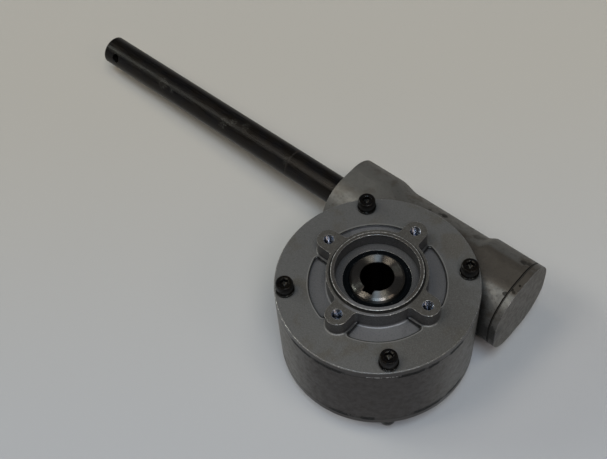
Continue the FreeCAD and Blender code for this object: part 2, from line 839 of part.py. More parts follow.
for name, side in (("input_thread_runout", -1), ("cap_thread_runout", 1)):
    rise = worm_tip_radius - worm_root_radius + d.root_relief
    grooved(worm_shaft, name, "X", [
        (worm_root_radius, thread_end * side),
        (worm_root_radius + rise, (thread_end - rise) * side),
        (worm_root_radius + rise, bearing_shoulder * side),
        (worm_root_radius, bearing_shoulder * side),
    ])
cross_hole = worm_shaft.newObject("PartDesign::Pocket", "cross_hole")
cross_sketch = new_sketch(worm_shaft, "cross_hole", "XZ_Plane", ZERO,
                          disc(d.cross_hole_diameter / 2, (shaft_tip + d.cross_hole_setback, ZERO)))
cross_tilt = Rotation(Vector(1, 0, 0), d.cross_hole_tilt_degrees.value)
cross_sketch.AttachmentOffset = Placement(Vector(), cross_tilt)
bind(cross_sketch, "AttachmentOffset.Rotation.Angle", d.cross_hole_tilt_degrees)
cross_hole.Profile = cross_sketch
cross_hole.Midplane = True
cross_hole_reach = d.input_shaft_diameter * 2
cross_hole.Length = cross_hole_reach.value
bind(cross_hole, "Length", cross_hole_reach)
lay_on_worm_axis(worm_shaft)
document.recompute()


# Output shaft, hollow and keyed

output_shaft = new_body("output_shaft")
shaft_end = d.output_shaft_length / 2
turned(output_shaft, "shaft", "Z", [
    (output_bore_radius, -shaft_end),
    (output_shaft_radius - d.output_shaft_chamfer, -shaft_end),
    (output_shaft_radius, -shaft_end + d.output_shaft_chamfer),
    (output_shaft_radius, -output_bearing_floor),
    (wheel_seat_radius, -output_bearing_floor),
    (wheel_seat_radius, output_bearing_floor),
    (output_shaft_radius, output_bearing_floor),
    (output_shaft_radius, shaft_end - d.output_shaft_chamfer),
    (output_shaft_radius - d.output_shaft_chamfer, shaft_end),
    (output_bore_radius, shaft_end),
])
half_keyway = d.keyway_width / 2
keyway = pocket(output_shaft, "keyway", "XY_Plane", -shaft_end, shaft_end,
                rectangle(ZERO, output_bore_radius + d.keyway_depth, -half_keyway, half_keyway))
keyway_turn = Rotation(Vector(0, 0, 1), d.keyway_direction_degrees.value)
keyway.Profile[0].AttachmentOffset = Placement(Vector(0, 0, -shaft_end.value), keyway_turn)
bind(keyway.Profile[0], "AttachmentOffset.Rotation.Angle", d.keyway_direction_degrees)
half_key = d.wheel_key_width / 2
half_key_length = d.wheel_key_length / 2
key_floor = wheel_seat_radius - d.wheel_key_height / 2
key_top = wheel_seat_radius + d.wheel_key_height / 2
pocket(output_shaft, "wheel_key_seat", "XY_Plane", -half_key_length, half_key_length,
       rectangle(-half_key, half_key, key_floor, key_top))

wheel_key = new_body("wheel_key")
pad(wheel_key, "key", "XY_Plane", -half_key_length + d.key_gap, half_key_length - d.key_gap,
    rectangle(-half_key + d.fit_gap, half_key - d.fit_gap, key_floor + d.fit_gap, key_top))


# Worm wheel: a bronze toothed rim on an iron hub

wheel_hub = new_body("wheel_hub")
hub_bore = wheel_seat_radius + d.fit_gap
hub_outer = wheel_seat_radius + d.wheel_hub_wall
band_outer = rim_bore_radius - d.fit_gap
band_inner = rim_bore_radius - d.wheel_band_wall
half_web = d.wheel_web_thickness / 2
hub_half_length = output_bearing_floor
turned(wheel_hub, "hub", "Z", [
    (hub_bore, -hub_half_length),
    (hub_outer, -hub_half_length),
    (hub_outer, -half_web),
    (band_inner, -half_web),
    (band_inner, -half_face),
    (band_outer, -half_face),
    (band_outer, half_face),
    (band_inner, half_face),
    (band_inner, half_web),
    (hub_outer, half_web),
    (hub_outer, hub_half_length),
    (hub_bore, hub_half_length),
])
pocket(wheel_hub, "key_slot", "XY_Plane", -hub_half_length, hub_half_length,
       rectangle(-half_key, half_key, ZERO, key_top + d.key_gap))

wheel_rim = new_body("wheel_rim")
land = root(throat_radius * throat_radius
            - (centre_distance - wheel_tip_radius) * (centre_distance - wheel_tip_radius))
turned(wheel_rim, "blank", "Z", [
    (rim_bore_radius, -half_face),
    (wheel_tip_radius, -half_face),
    (wheel_tip_radius, -land),
    (wheel_tip_radius, land),
    (wheel_tip_radius, half_face),
    (rim_bore_radius, half_face),
], arcs={2: (centre_distance, ZERO)})
half_gap = axial_pitch * d.tooth_gap_share / 2
gap_slope = tangent(d.tooth_gap_flank_degrees)
gap_mouth = throat_radius - d.tooth_gap_overrun
gap_floor = worm_tip_radius + d.root_relief
gap_mouth_half = half_gap + (worm_pitch_radius - gap_mouth) * gap_slope
gap_floor_half = half_gap - (gap_floor - worm_pitch_radius) * gap_slope
tooth_gap = wheel_rim.newObject("PartDesign::SubtractiveHelix", "tooth_gap")
gap_sketch = new_sketch(wheel_rim, "tooth_gap", "XY_Plane", ZERO, outline([
    (-gap_mouth_half, -gap_mouth),
    (-gap_floor_half, -gap_floor),
    (gap_floor_half, -gap_floor),
    (gap_mouth_half, -gap_mouth),
]))
gap_start = -axial_pitch * d.tooth_gap_sweep_degrees / FULL_TURN
gap_sketch.AttachmentOffset = Placement(Vector(gap_start.value, centre_distance.value, 0),
                                        Rotation(Vector(1, 0, 0), -d.tooth_gap_sweep_degrees.value))
bind(gap_sketch, "AttachmentOffset.Base.x", gap_start)
bind(gap_sketch, "AttachmentOffset.Base.y", centre_distance)
tooth_gap.Profile = gap_sketch
tooth_gap.ReferenceAxis = (gap_sketch, ["H_Axis"])
tooth_gap.Mode = "pitch-height-angle"
tooth_gap.Pitch = axial_pitch.value
bind(tooth_gap, "Pitch", axial_pitch)
tooth_gap.Height = -gap_start.value * 2
bind(tooth_gap, "Height", -gap_start * 2)
document.recompute()
around(wheel_rim, "tooth_gaps", [tooth_gap], d.wheel_teeth.value)


# Checks, then one file for each part

document.recompute()
for thing in document.Objects:
    if "Invalid" in thing.State or "Error" in thing.State:
        raise RuntimeError(f"{thing.Name} could not be built: {thing.State}")
for body in parts:
    if body.Shape.isNull() or not body.Shape.isValid():
        raise RuntimeError(f"{body.Label} has no valid shape")
    body.Shape.exportStep(f"parts/{body.Label}.step")
    box = body.Shape.BoundBox
    print(f"{body.Label}: {len(body.Shape.Solids)} solids, {body.Shape.Volume:.0f} mm3,",
          f"x {box.XMin:.1f} {box.XMax:.1f}, y {box.YMin:.1f} {box.YMax:.1f},",
          f"z {box.ZMin:.1f} {box.ZMax:.1f}")
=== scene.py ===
import bpy
import functools
import math
from mathutils import Matrix, Vector


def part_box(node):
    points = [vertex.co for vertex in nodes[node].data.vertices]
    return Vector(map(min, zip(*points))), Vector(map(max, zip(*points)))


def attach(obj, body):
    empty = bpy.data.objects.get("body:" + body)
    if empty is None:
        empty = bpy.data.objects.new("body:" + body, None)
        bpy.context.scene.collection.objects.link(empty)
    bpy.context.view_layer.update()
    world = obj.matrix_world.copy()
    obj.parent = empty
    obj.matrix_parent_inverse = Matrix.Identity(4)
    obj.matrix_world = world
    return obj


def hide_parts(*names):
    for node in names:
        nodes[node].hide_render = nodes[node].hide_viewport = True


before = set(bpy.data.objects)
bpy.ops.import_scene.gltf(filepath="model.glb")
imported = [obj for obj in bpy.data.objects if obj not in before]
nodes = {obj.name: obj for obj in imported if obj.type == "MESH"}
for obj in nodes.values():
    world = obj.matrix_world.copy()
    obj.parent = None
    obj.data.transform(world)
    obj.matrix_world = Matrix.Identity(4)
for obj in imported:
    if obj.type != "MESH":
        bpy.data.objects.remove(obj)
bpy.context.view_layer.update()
MM = 0.001

# Levels and places, read from the frame or given in metres

DRUM_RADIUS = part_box("top_cover")[1].x
RING_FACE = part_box("top_cover")[1].z
COVER_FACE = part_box("top_lock_washers")[0].z
HEAD_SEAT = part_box("top_lock_washers")[1].z
HEAD_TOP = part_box("top_cover_screws")[1].z
SCREW_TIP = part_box("top_cover_screws")[0].z
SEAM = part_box("top_gasket")[1].z
CAP_SEAM = (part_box("end_cap_gasket")[0].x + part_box("end_cap_gasket")[1].x) / 2
HUB_FACE = COVER_FACE + 12.5 * MM
SCREW_CIRCLE = 67 * MM
EAR_CIRCLE = 45 * MM
HEAD_RADIUS = 6.5 * MM
RING_RADIUS = 33.5 * MM


# Node materials

BEVEL_SAMPLES = 4
CREVICE_SAMPLES = 6
# How far a rounded normal leans from the true one, as one minus the cosine, where an edge starts and is full
EDGE_LEAN = (0.006, 0.08)


class Shader:
    """One procedural material on a Principled surface, laid out in the object's own metres.

    Its colour starts plain, and coats are laid over it. A share is a number from 0 to 1 that
    says how far something holds at a place.
    """

    def __init__(self, name, colour, **settings):
        self.material = bpy.data.materials.new(name)
        self.material.use_nodes = True
        self.tree = self.material.node_tree
        self.surface = self.tree.nodes["Principled BSDF"]
        self.place = self.node("ShaderNodeTexCoord").outputs["Object"]
        self.colour = colour
        self.feed(self.surface, **settings)

    def done(self, **inputs):
        """Join the colour and the other inputs to the surface and give the material."""
        self.feed(self.surface, Base_Color=self.colour, **inputs)
        return self.material

    def node(self, kind, **settings):
        made = self.tree.nodes.new(kind)
        for name, value in settings.items():
            setattr(made, name, value)
        return made

    def give(self, socket, value):
        """Link a socket to another node's output, or set it to a plain value."""
        if isinstance(value, bpy.types.NodeSocket):
            self.tree.links.new(value, socket)
        elif socket.type == "RGBA" and len(value) == 3:
            socket.default_value = (*value, 1)
        else:
            socket.default_value = value

    def feed(self, node, **inputs):
        for name, value in inputs.items():
            self.give(node.inputs[name.replace("_", " ")], value)
        return node

    def math(self, operation, first, second=0.0, clamp=False):
        made = self.node("ShaderNodeMath", operation=operation, use_clamp=clamp)
        self.give(made.inputs[0], first)
        self.give(made.inputs[1], second)
        return made.outputs[0]

    def add(self, *values):
        return functools.reduce(functools.partial(self.math, "ADD"), values)

    def times(self, *values):
        return functools.reduce(functools.partial(self.math, "MULTIPLY"), values)

    def most(self, *values):
        """The largest of some numbers."""
        return functools.reduce(functools.partial(self.math, "MAXIMUM"), values)

    def less(self, first, second):
        return self.math("SUBTRACT", first, second)

    def length(self, across, along):
        return self.math("SQRT", self.add(self.times(across, across), self.times(along, along)))

    def between(self, share, low, high):
        """A number between low and high."""
        return self.add(self.times(share, high - low), low)

    def turned_round(self, share):
        """One minus a share."""
        return self.math("SUBTRACT", 1.0, share, clamp=True)

    def rise(self, value, low, high):
        """A share that rises softly from 0 at low to 1 at high."""
        made = self.node("ShaderNodeMapRange", interpolation_type="SMOOTHSTEP")
        self.feed(made, Value=value, From_Min=low, From_Max=high)
        return made.outputs["Result"]

    def fall(self, value, low, high):
        """A share that falls softly from 1 at low to 0 at high."""
        return self.turned_round(self.rise(value, low, high))

    def band(self, value, middle, half_width, softness):
        """A share that is 1 within a band around a value."""
        away = self.math("ABSOLUTE", self.less(value, middle))
        return self.fall(away, half_width, half_width + softness)

    def axes(self, vector=None):
        made = self.node("ShaderNodeSeparateXYZ")
        self.give(made.inputs[0], vector or self.place)
        return made.outputs

    def radius(self):
        """Distance from the output bore's axis."""
        x, y, _ = self.axes()
        return self.length(x, y)

    def angle(self):
        """Degrees around the output bore's axis, from +X."""
        x, y, _ = self.axes()
        return self.times(self.math("ARCTAN2", y, x), 180 / math.pi)

    def height(self):
        """Distance from the middle plane, the same on both sides."""
        return self.math("ABSOLUTE", self.axes()[2])

    def facing(self):
        """The three parts of the surface's direction, before bumps."""
        return self.axes(self.node("ShaderNodeTexCoord").outputs["Normal"])

    def upright(self):
        """1 on level faces, 0 on walls."""
        return self.math("ABSOLUTE", self.facing()[2])

    def stretched(self, scale):
        made = self.node("ShaderNodeMapping")
        self.give(made.inputs["Vector"], self.place)
        made.inputs["Scale"].default_value = scale
        return made.outputs[0]

    def noise(self, size, detail=3.0, roughness=0.55, place=None):
        """Cloudy noise whose patches are about this size, in metres."""
        made = self.node("ShaderNodeTexNoise")
        self.feed(made, Vector=place or self.place, Scale=1 / size, Detail=detail, Roughness=roughness)
        return made.outputs["Fac"]

    def cloudy(self, size, low, high, detail=3.0, roughness=0.55):
        """A share in cloudy patches of about this size; higher limits leave fewer of them."""
        return self.rise(self.noise(size, detail, roughness), low, high)

    def specks(self, spacing, core, rim):
        """A share that is 1 in small specks, whose core and rim are parts of their spacing."""
        made = self.node("ShaderNodeTexVoronoi")
        self.feed(made, Vector=self.place, Scale=1 / spacing)
        return self.fall(made.outputs["Distance"], core, rim)

    def spot(self, point, radius, ragged):
        """A share that is 1 within a spot made ragged by a noise; point and radius are in millimetres."""
        reach = radius * MM
        made = self.node("ShaderNodeVectorMath", operation="DISTANCE")
        self.give(made.inputs[0], self.place)
        made.inputs[1].default_value = [coordinate * MM for coordinate in point]
        away = self.add(made.outputs["Value"], self.times(self.less(ragged, 0.5), 3 * reach))
        return self.fall(away, 0.7 * reach, 1.3 * reach)

    def mix(self, share, first, second):
        """A colour between two colours."""
        made = self.node("ShaderNodeMix", data_type="RGBA")
        sockets = [socket for socket in made.inputs if socket.enabled]
        for socket, value in zip(sockets, (share, first, second)):
            self.give(socket, value)
        return next(socket for socket in made.outputs if socket.enabled)

    def coat(self, colour, *shares):
        """Lay a colour over what is there, as far as the product of the shares says."""
        self.colour = self.mix(self.times(*shares), self.colour, colour)

    def soft_edges(self, radius):
        """The normal of the surface with its edges rounded, and a share that is 1 on an edge."""
        rounded = self.node("ShaderNodeBevel", samples=BEVEL_SAMPLES)
        rounded.inputs["Radius"].default_value = radius
        true_normal = self.node("ShaderNodeNewGeometry").outputs["Normal"]
        alike = self.node("ShaderNodeVectorMath", operation="DOT_PRODUCT")
        self.give(alike.inputs[0], rounded.outputs["Normal"])
        self.give(alike.inputs[1], true_normal)
        return rounded.outputs["Normal"], self.rise(self.less(1.0, alike.outputs["Value"]), *EDGE_LEAN)

    def openness(self, distance):
        """1 on open surfaces, falling to 0 in crevices narrower than the distance."""
        made = self.node("ShaderNodeAmbientOcclusion", samples=CREVICE_SAMPLES)
        made.inputs["Distance"].default_value = distance
        return made.outputs["AO"]

    def bump(self, height, strength, distance, normal=None):
        made = self.node("ShaderNodeBump")
        self.feed(made, Height=height, Strength=strength, Distance=distance)
        if normal is not None:
            self.give(made.inputs["Normal"], normal)
        return made.outputs["Normal"]


def shade(colour, factor):
    return tuple(channel * factor for channel in colour)


# Cast metal of the housing, the end cap and the covers

CAST_GREY = (0.113, 0.108, 0.101)
CAST_PALE = (0.165, 0.158, 0.145)
CAST_BROWN = (0.074, 0.063, 0.053)
# Painted shade on cast metal where little lamp light falls
CAST_PAINTED_SHADE = (0.036, 0.03, 0.0275)
CAP_GREY = (0.113, 0.103, 0.088)
# Bare metal of worn edges and burrs, and also a painted highlight on the recesses' arcs and on the ring's
# edge
EDGE_METAL_AND_HIGHLIGHT = (0.4, 0.39, 0.38)
EDGE_BRIGHT = (0.95, 0.94, 0.92)
# Near-black for painted shade in crevices, on walls and down the bore, and for real stains and open joints
SHADE_AND_STAIN_BLACK = (0.005, 0.0045, 0.004)


def cast_finish(shader, rough, stains_and_shade, wear, grain, edge_radius, shade_depth, shade_limits):
    """Edges worn by a share, the grain of the casting, painted shade in the crevices, and near-black where
    the share of stains and shade is 1: real stains, open joints and painted shade.
    """
    rounded, edge = shader.soft_edges(edge_radius)
    open_share = shader.openness(shade_depth)
    uneven = shader.between(shader.cloudy(1.6 * MM, 0.38, 0.6, 2.0), 0.35, 1.0)
    worn = shader.times(edge, shader.rise(open_share, 0.72, 0.95), wear, uneven)
    bright = shader.cloudy(2.4 * MM, 0.5, 0.66)
    shader.coat(shader.mix(bright, EDGE_METAL_AND_HIGHLIGHT, EDGE_BRIGHT), worn)
    # Painted shade in crevices, from the ambient occlusion
    crevice_shade = shader.times(shader.fall(open_share, *shade_limits), 0.9)
    darkened = shader.most(crevice_shade, stains_and_shade)
    shader.coat(SHADE_AND_STAIN_BLACK, darkened)
    coarse = shader.noise(1.1 * MM, 4.0, 0.6)
    fine = shader.noise(0.35 * MM, 2.0)
    relief = shader.add(shader.times(coarse, 0.7), shader.times(fine, 0.3))
    return shader.done(Metallic=shader.between(shader.most(worn, darkened), 0.6, 1.0),
                       Roughness=shader.less(rough, shader.times(worn, 0.16)),
                       Normal=shader.bump(relief, grain, 0.25 * MM, rounded))


# Spans of degrees around the drum: where the two seams stand open, and where the cover's edge has a burr
TOP_SEAM_GAPS = (
    (-160, -146), (-104, -91), (-86, -72), (-39, -27), (-22, -18), (-8, 0), (40, 58), (120, 131),
)
BOTTOM_SEAM_GAPS = (
    (-134, -122), (-78, -69), (-60, -54), (-29, -14), (-7, 4), (25, 33), (110, 126), (171, 184),
)
BURRS = ((-141, -131), (-97, -93), (-57, -40), (8, 20), (62, 84), (150, 176))
SPAN_SOFTNESS = 2.5
SPAN_RAGGEDNESS = 12

# The side of the drum, toward the front, that gets painted shade because little lamp light falls on it, in
# degrees
SHADED_SIDE = -57
SHADED_SIDE_HALF = 22
SHADED_SIDE_FADE = 35


def along_drum(shader, spans):
    """A share that is 1 within spans of degrees around the output bore's axis, with ragged ends."""
    ragged = shader.times(shader.less(shader.noise(2.5 * MM), 0.5), SPAN_RAGGEDNESS)
    angle = shader.add(shader.angle(), ragged)
    return shader.most(*[shader.band(angle, (start + end) / 2, (end - start) / 2, SPAN_SOFTNESS)
                         for start, end in spans])


# A share that is 1 on the drum's front side, where shade is painted
def shaded_side_of_drum(shader):
    return shader.band(shader.angle(), SHADED_SIDE, SHADED_SIDE_HALF, SHADED_SIDE_FADE)


def seam_stains(shader, top_level, bottom_level):
    """Dark strips on the drum's wall where a seam stands open: a share for the top, one for the bottom."""
    wobble = shader.times(shader.less(shader.noise(3 * MM), 0.5), 2.2 * MM)
    wavy_level = shader.add(shader.axes()[2], wobble)
    on_wall = shader.band(shader.radius(), DRUM_RADIUS, 0.6 * MM, 0.3 * MM)
    dark_marks = []
    for level, gaps in ((top_level, TOP_SEAM_GAPS), (bottom_level, BOTTOM_SEAM_GAPS)):
        near = shader.band(wavy_level, level, 1.15 * MM, 0.3 * MM)
        dark_marks.append(shader.times(near, on_wall, along_drum(shader, gaps)))
    return dark_marks


# Dark stains of the casting, and three spots of painted shade on the barrel's front wall at about 35 mm in
# y, beside the drum and the cap: point and radius in millimetres, and strength
STAINS_AND_SHADE_SPOTS = (
    ((-0.7, 84.6, 27.5), 2.8, 0.9), ((-4.5, 83.3, 28.2), 1.8, 0.6), ((-12.3, 80.9, 29.4), 1.4, 0.5),
    ((30.5, 83.7, 28.0), 3.0, 0.35), ((34.7, 85.7, 26.9), 2.2, 0.35), ((70.4, 84.9, 30.1), 2.6, 0.5),
    ((74.5, 86.7, 29.2), 2.0, 0.5), ((75.4, 52.8, 30.9), 1.8, 0.8), ((66.7, 35.3, -12.8), 3.0, 0.7),
    ((72.3, 34.7, -10.3), 2.4, 0.7), ((73.2, 16.1, 4.7), 2.0, 0.5), ((80.0, 57.0, 32.0), 1.2, 0.6),
    ((79.5, 34.3, 2.0), 9.0, 0.5), ((77.7, 58.1, 32.0), 0.9, 0.7), ((80.3, 64.3, 32.2), 0.8, 0.7),
)

# Where along the barrel its top is pale toward the free end, and where it browns toward the cap
FREE_END = (-62 * MM, -42 * MM)
TOWARD_CAP = (-40 * MM, 50 * MM)


def cast_iron():
    """Bare casting: mottled grey with brown stains, a little metallic; painted shade on the drum's front
    side, by its seams there and in spots on the barrel's front wall, and painted light on the drum's other
    sides.
    """
    shader = Shader("cast_iron", CAST_GREY)
    x = shader.axes()[0]
    upright = shader.upright()
    patches = shader.noise(16 * MM, 4.0, 0.62)
    blotches = shader.noise(4.5 * MM, 4.0, 0.65)

    brown_top = shader.times(shader.rise(upright, 0.955, 0.985),
                             shader.between(shader.rise(x, *TOWARD_CAP), 0.1, 0.95))
    shader.coat(CAST_BROWN, shader.most(shader.rise(patches, 0.48, 0.66), brown_top))
    shader.coat(shade(CAST_BROWN, 0.7), shader.rise(blotches, 0.5, 0.72), 0.45)
    shader.coat(shade(CAST_BROWN, 0.45), shader.specks(2.6 * MM, 0.12, 0.3), 0.35)

    drum = shader.fall(shader.radius(), DRUM_RADIUS + MM, DRUM_RADIUS + 2 * MM)
    drum_wall = shader.times(shader.fall(upright, 0.3, 0.6), drum)
    shaded_side = shaded_side_of_drum(shader)
    # Painted light on the drum's wall away from its front, and painted shade on its front side
    shader.coat(CAST_PALE, shader.turned_round(shaded_side), drum_wall, 0.6)
    shader.coat(CAST_PAINTED_SHADE, shaded_side, drum_wall, 0.95)

    shader.coat(CAST_PALE, shader.fall(x, *FREE_END), shader.rise(upright, 0.85, 0.97), 0.4)
    cap_colour = shader.mix(shader.rise(blotches, 0.4, 0.7), CAP_GREY, shade(CAP_GREY, 0.8))
    toward_end = shader.rise(shader.facing()[0], 0.6, 0.9)
    shader.coat(cap_colour, toward_end, shader.rise(x, CAP_SEAM, CAP_SEAM + MM))
    # Painted shade near the seams on the drum's front side
    rim = shader.times(drum, shader.rise(shader.height(), SEAM - 1.8 * MM, SEAM - 1.4 * MM))
    shader.coat(shade(CAST_PAINTED_SHADE, 0.6), rim, shaded_side, 0.6)

    cap_line = shader.band(shader.add(x, shader.times(blotches, 0.5 * MM)), CAP_SEAM, 0.6 * MM, 0.4 * MM)
    # Real stains, and the spots of painted shade on the barrel's front wall
    dark_marks = [shader.times(shader.spot(point, radius, blotches), strength)
              for point, radius, strength in STAINS_AND_SHADE_SPOTS]
    stains_and_shade = shader.most(cap_line, *seam_stains(shader, SEAM - 1.2 * MM, 1.6 * MM - SEAM), *dark_marks)
    wear = shader.times(shader.turned_round(rim), 0.45)
    rough = shader.between(shader.rise(blotches, 0.35, 0.7), 0.44, 0.58)
    return cast_finish(shader, rough, stains_and_shade, wear, grain=0.5, edge_radius=0.6 * MM,
                       shade_depth=11 * MM, shade_limits=(0.3, 0.85))


# The covers

COVER_GREY = (0.123, 0.12, 0.119)
COVER_BROWN = (0.108, 0.099, 0.088)
COVER_OIL = (0.1, 0.08, 0.055)
EAR_BROWN = (0.072, 0.065, 0.057)
RECESS_GREY = (0.115, 0.113, 0.12)
SHADED_SKIN = (0.044, 0.042, 0.043)

# Places of the covers that are lighter or darker than the rest: painted shade on the face's +X part, an oil
# stain, painted light in the front recess, a paler far recess and the lit part of the ring; point and radius
# in millimetres
PAINTED_SHADE_PLACE = ((60, -8, 39), 34)
OILY_PLACE = ((25, 60, 39), 10)
PAINTED_LIGHT_FRONT_RECESS = ((31, -31, 36), 26)
PALE_FAR_RECESS = ((-33, 33, 36), 12)
LIT_PART_OF_RING = ((18, -24, 53), 22)

# Outline of the four recesses: their outer arc, the half width of the spokes between them, their corners
RECESS_ARC = 50 * MM
SPOKE_HALF = 10.5 * MM
RECESS_CORNER = 3 * MM

INNER_LEDGE = 30.9 * MM
HUB_WALL = 36 * MM
OUTER_PART = 60 * MM


def recess_distances(shader, radius):
    """Distance outside the recesses' outline, and outside their straight sides; both less than 0 within."""
    x, y, _ = shader.axes()
    nearest = shader.math("MINIMUM", shader.math("ABSOLUTE", x), shader.math("ABSOLUTE", y))
    past_arc = shader.less(radius, RECESS_ARC - RECESS_CORNER)
    past_side = shader.less(SPOKE_HALF + RECESS_CORNER, nearest)
    corner = shader.length(shader.most(past_arc, 0.0), shader.most(past_side, 0.0))
    within = shader.math("MINIMUM", shader.most(past_arc, past_side), 0.0)
    return shader.less(shader.add(corner, within), RECESS_CORNER), shader.less(past_side, RECESS_CORNER)


class CoverRegions:
    """Shares that tell the regions of a cover apart.

    Steep: its walls. Inner: the ledge around the oil seal. Outer and middle: outside and inside the
    circle around the recesses. Tops: the faces of the ears and the ring. Sunk: the recesses' floors.
    Low edge: the part next to the seam.
    """

    def __init__(self, shader):
        self.height = shader.height()
        self.radius = shader.radius()
        self.patches = shader.noise(22 * MM, 3.0, 0.6)
        self.steep = shader.fall(shader.upright(), 0.3, 0.8)
        self.inner = shader.fall(self.radius, INNER_LEDGE, INNER_LEDGE + 0.4 * MM)
        self.outer = shader.rise(self.radius, OUTER_PART, OUTER_PART + 2 * MM)
        self.middle = shader.turned_round(self.outer)
        self.tops = shader.rise(self.height, HUB_FACE - 0.6 * MM, HUB_FACE - 0.2 * MM)
        self.sunk = shader.fall(self.height, COVER_FACE - 0.9 * MM, COVER_FACE - 0.3 * MM)
        self.low_edge = shader.fall(self.height, SEAM + 0.8 * MM, SEAM + 1.4 * MM)
        self.shaded_side = shaded_side_of_drum(shader)


def cover_skin(shader, region, grain):
    """Machined face, brownish ear tops, smooth bluish recesses, painted shade on the steep walls, on the
    ledge around the seal and on the face's +X part, and painted light in the front recess.
    """
    shader.coat(COVER_BROWN, shader.rise(region.patches, 0.5, 0.68))
    # Painted shade on the face's +X part
    shader.coat(shade(COVER_BROWN, 0.75), shader.spot(*PAINTED_SHADE_PLACE, region.patches), 0.5)
    shader.coat(COVER_OIL, shader.spot(*OILY_PLACE, region.patches), 0.4)
    shader.coat(EAR_BROWN, region.tops, 0.9)
    # Painted light in the front recess, and a paler far recess
    pale = shader.most(shader.times(shader.spot(*PAINTED_LIGHT_FRONT_RECESS, region.patches), 0.8),
                       shader.spot(*PALE_FAR_RECESS, region.patches))
    recesses = shader.times(region.sunk, shader.rise(region.radius, HUB_WALL, HUB_WALL + MM))
    shader.coat(shader.mix(pale, RECESS_GREY, shade(RECESS_GREY, 1.4)),
                shader.most(recesses, region.inner), region.middle)
    # Painted shade on the steep walls and on the ledge around the seal
    shader.coat(SHADED_SKIN, region.steep, region.middle, shader.turned_round(region.sunk), 0.85)
    shader.coat(SHADED_SKIN, region.inner, 0.6)
    shader.coat(shade(COVER_GREY, 1.6), shader.rise(grain, 0.42, 0.7), 0.4)
    shader.coat(shade(COVER_BROWN, 0.4), shader.cloudy(1.3 * MM, 0.5, 0.72, 3.0, 0.7), 0.35)


def recess_edges(shader, region):
    """Painted shade on the narrow shelf beside each recess and a painted highlight just outside its arc;
    gives a line of painted shade along the outline, and what stays unworn.
    """
    outside, beside = recess_distances(shader, region.radius)
    shelf = shader.times(shader.rise(beside, -1.2 * MM, -0.6 * MM),
                         shader.fall(region.radius, RECESS_ARC - 1.5 * MM, RECESS_ARC),
                         shader.fall(region.height, COVER_FACE + MM, COVER_FACE + 2 * MM))
    # Painted shade on the shelf beside the recess
    shader.coat(shade(RECESS_GREY, 0.3), shelf, region.middle, 0.9)
    at_face = shader.band(region.height, COVER_FACE, 0.5 * MM, 0.2 * MM)
    along_arc = shader.rise(region.radius, RECESS_ARC - 2 * MM, RECESS_ARC - 0.5 * MM)
    light_line = shader.band(outside, 1.0 * MM, 0.25 * MM, 0.3 * MM)
    # Painted highlight just outside the recess's arc
    shader.coat(EDGE_METAL_AND_HIGHLIGHT, light_line, at_face, along_arc, 0.25)
    # Painted shade along the recess's outline, laid on in cast_finish
    dark_line = shader.times(shader.band(outside, 0.05 * MM, 0.25 * MM, 0.2 * MM), at_face,
                             shader.rise(region.radius, RECESS_ARC - 5 * MM, RECESS_ARC - 3 * MM))
    side_wall = shader.times(shader.band(beside, 0.0, 1.6 * MM, 0.6 * MM), shader.turned_round(along_arc),
                             shader.fall(region.height, COVER_FACE + 2 * MM, COVER_FACE + 3 * MM))
    return dark_line, shader.most(shelf, side_wall)


def cover_rim(shader, region):
    """Painted shade on the cover's outer wall on the front side and near the seam, and the bright burrs."""
    outer_wall = shader.times(region.outer, region.steep)
    # Painted shade on the front side's outer wall and near the seam
    shader.coat(CAST_PAINTED_SHADE, region.shaded_side, outer_wall, 0.85)
    shader.coat(shade(CAST_PAINTED_SHADE, 0.5), region.shaded_side, region.low_edge, region.outer, 0.7)
    burr = shader.band(region.height, SEAM + 0.35 * MM, 0.3 * MM, 0.2 * MM)
    top_side = shader.rise(shader.axes()[2], 0.0, MM)
    shader.coat(shade(EDGE_METAL_AND_HIGHLIGHT, 2), burr, along_drum(shader, BURRS), shader.cloudy(2 * MM, 0.46, 0.6),
                top_side, region.outer, 0.6)


def locating_ring(shader, region):
    """Painted light on the ring inside the ears where it is lit, painted shade on the rest of it and on its
    wall, and its upper edge bright, partly machined metal and partly a painted highlight.
    """
    ring = shader.rise(region.height, HUB_FACE + 0.05 * MM, HUB_FACE + 0.2 * MM)
    lit = shader.spot(*LIT_PART_OF_RING, region.patches)
    # Painted shade on the ring away from its lit part
    shader.coat(CAST_PAINTED_SHADE, ring, shader.times(shader.turned_round(lit), 0.45))
    hub_rim = shader.times(shader.band(region.radius, HUB_WALL, 0.7 * MM, 0.6 * MM), region.tops,
                           shader.turned_round(region.steep))
    # Painted light on the lit part of the ring and the hub's rim
    shader.coat(shade(RECESS_GREY, 1.5), shader.most(ring, hub_rim), lit, 0.75)
    # Painted shade on the ring's wall
    ring_wall = shader.band(region.radius, RING_RADIUS + 0.6 * MM, 0.75 * MM, 0.2 * MM)
    shader.coat(SHADE_AND_STAIN_BLACK, region.tops, ring_wall, 0.9)
    # Bright upper edge of the ring: machined metal, partly a painted highlight
    ring_edge = shader.times(shader.rise(region.height, RING_FACE - 0.35 * MM, RING_FACE - 0.2 * MM),
                             shader.band(region.radius, RING_RADIUS, 0.3 * MM, 0.25 * MM))
    speckled = shader.between(shader.cloudy(1.5 * MM, 0.4, 0.62), 0.2, 0.95)
    shader.coat(shade(EDGE_METAL_AND_HIGHLIGHT, 1.8), ring_edge, speckled)


